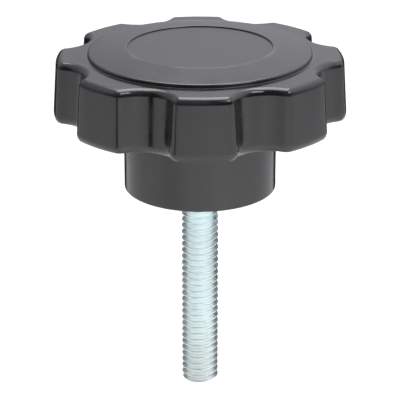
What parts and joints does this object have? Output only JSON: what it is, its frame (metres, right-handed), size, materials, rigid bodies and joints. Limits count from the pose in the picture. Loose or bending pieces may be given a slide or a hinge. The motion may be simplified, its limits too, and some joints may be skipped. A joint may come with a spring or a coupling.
{
  "type": "eight-arm knob with threaded stud",
  "caption": "Round clamping knob with finger notches between its arms, a raised crowned face with a shallow recess, a plain hub and a threaded steel stud.",
  "frame": {"origin": "centre of the flat seat at the bottom of the hub, where the stud leaves it", "axes": "+Z along the knob's axis, from the stud towards the head; an arm points along -Y, and others along +Y, +X and -X"},
  "size_m": [0.0602, 0.0602, 0.0747],
  "materials": {
    "phenolic": "moulded gloss black phenolic, with a finely grained centre recess",
    "zinc_steel": "bright zinc plate with a faint blue cast"
  },
  "bodies": {
    "root": {"knob_body": "phenolic", "threaded_stud": "zinc_steel"}
  },
  "joints": []
}
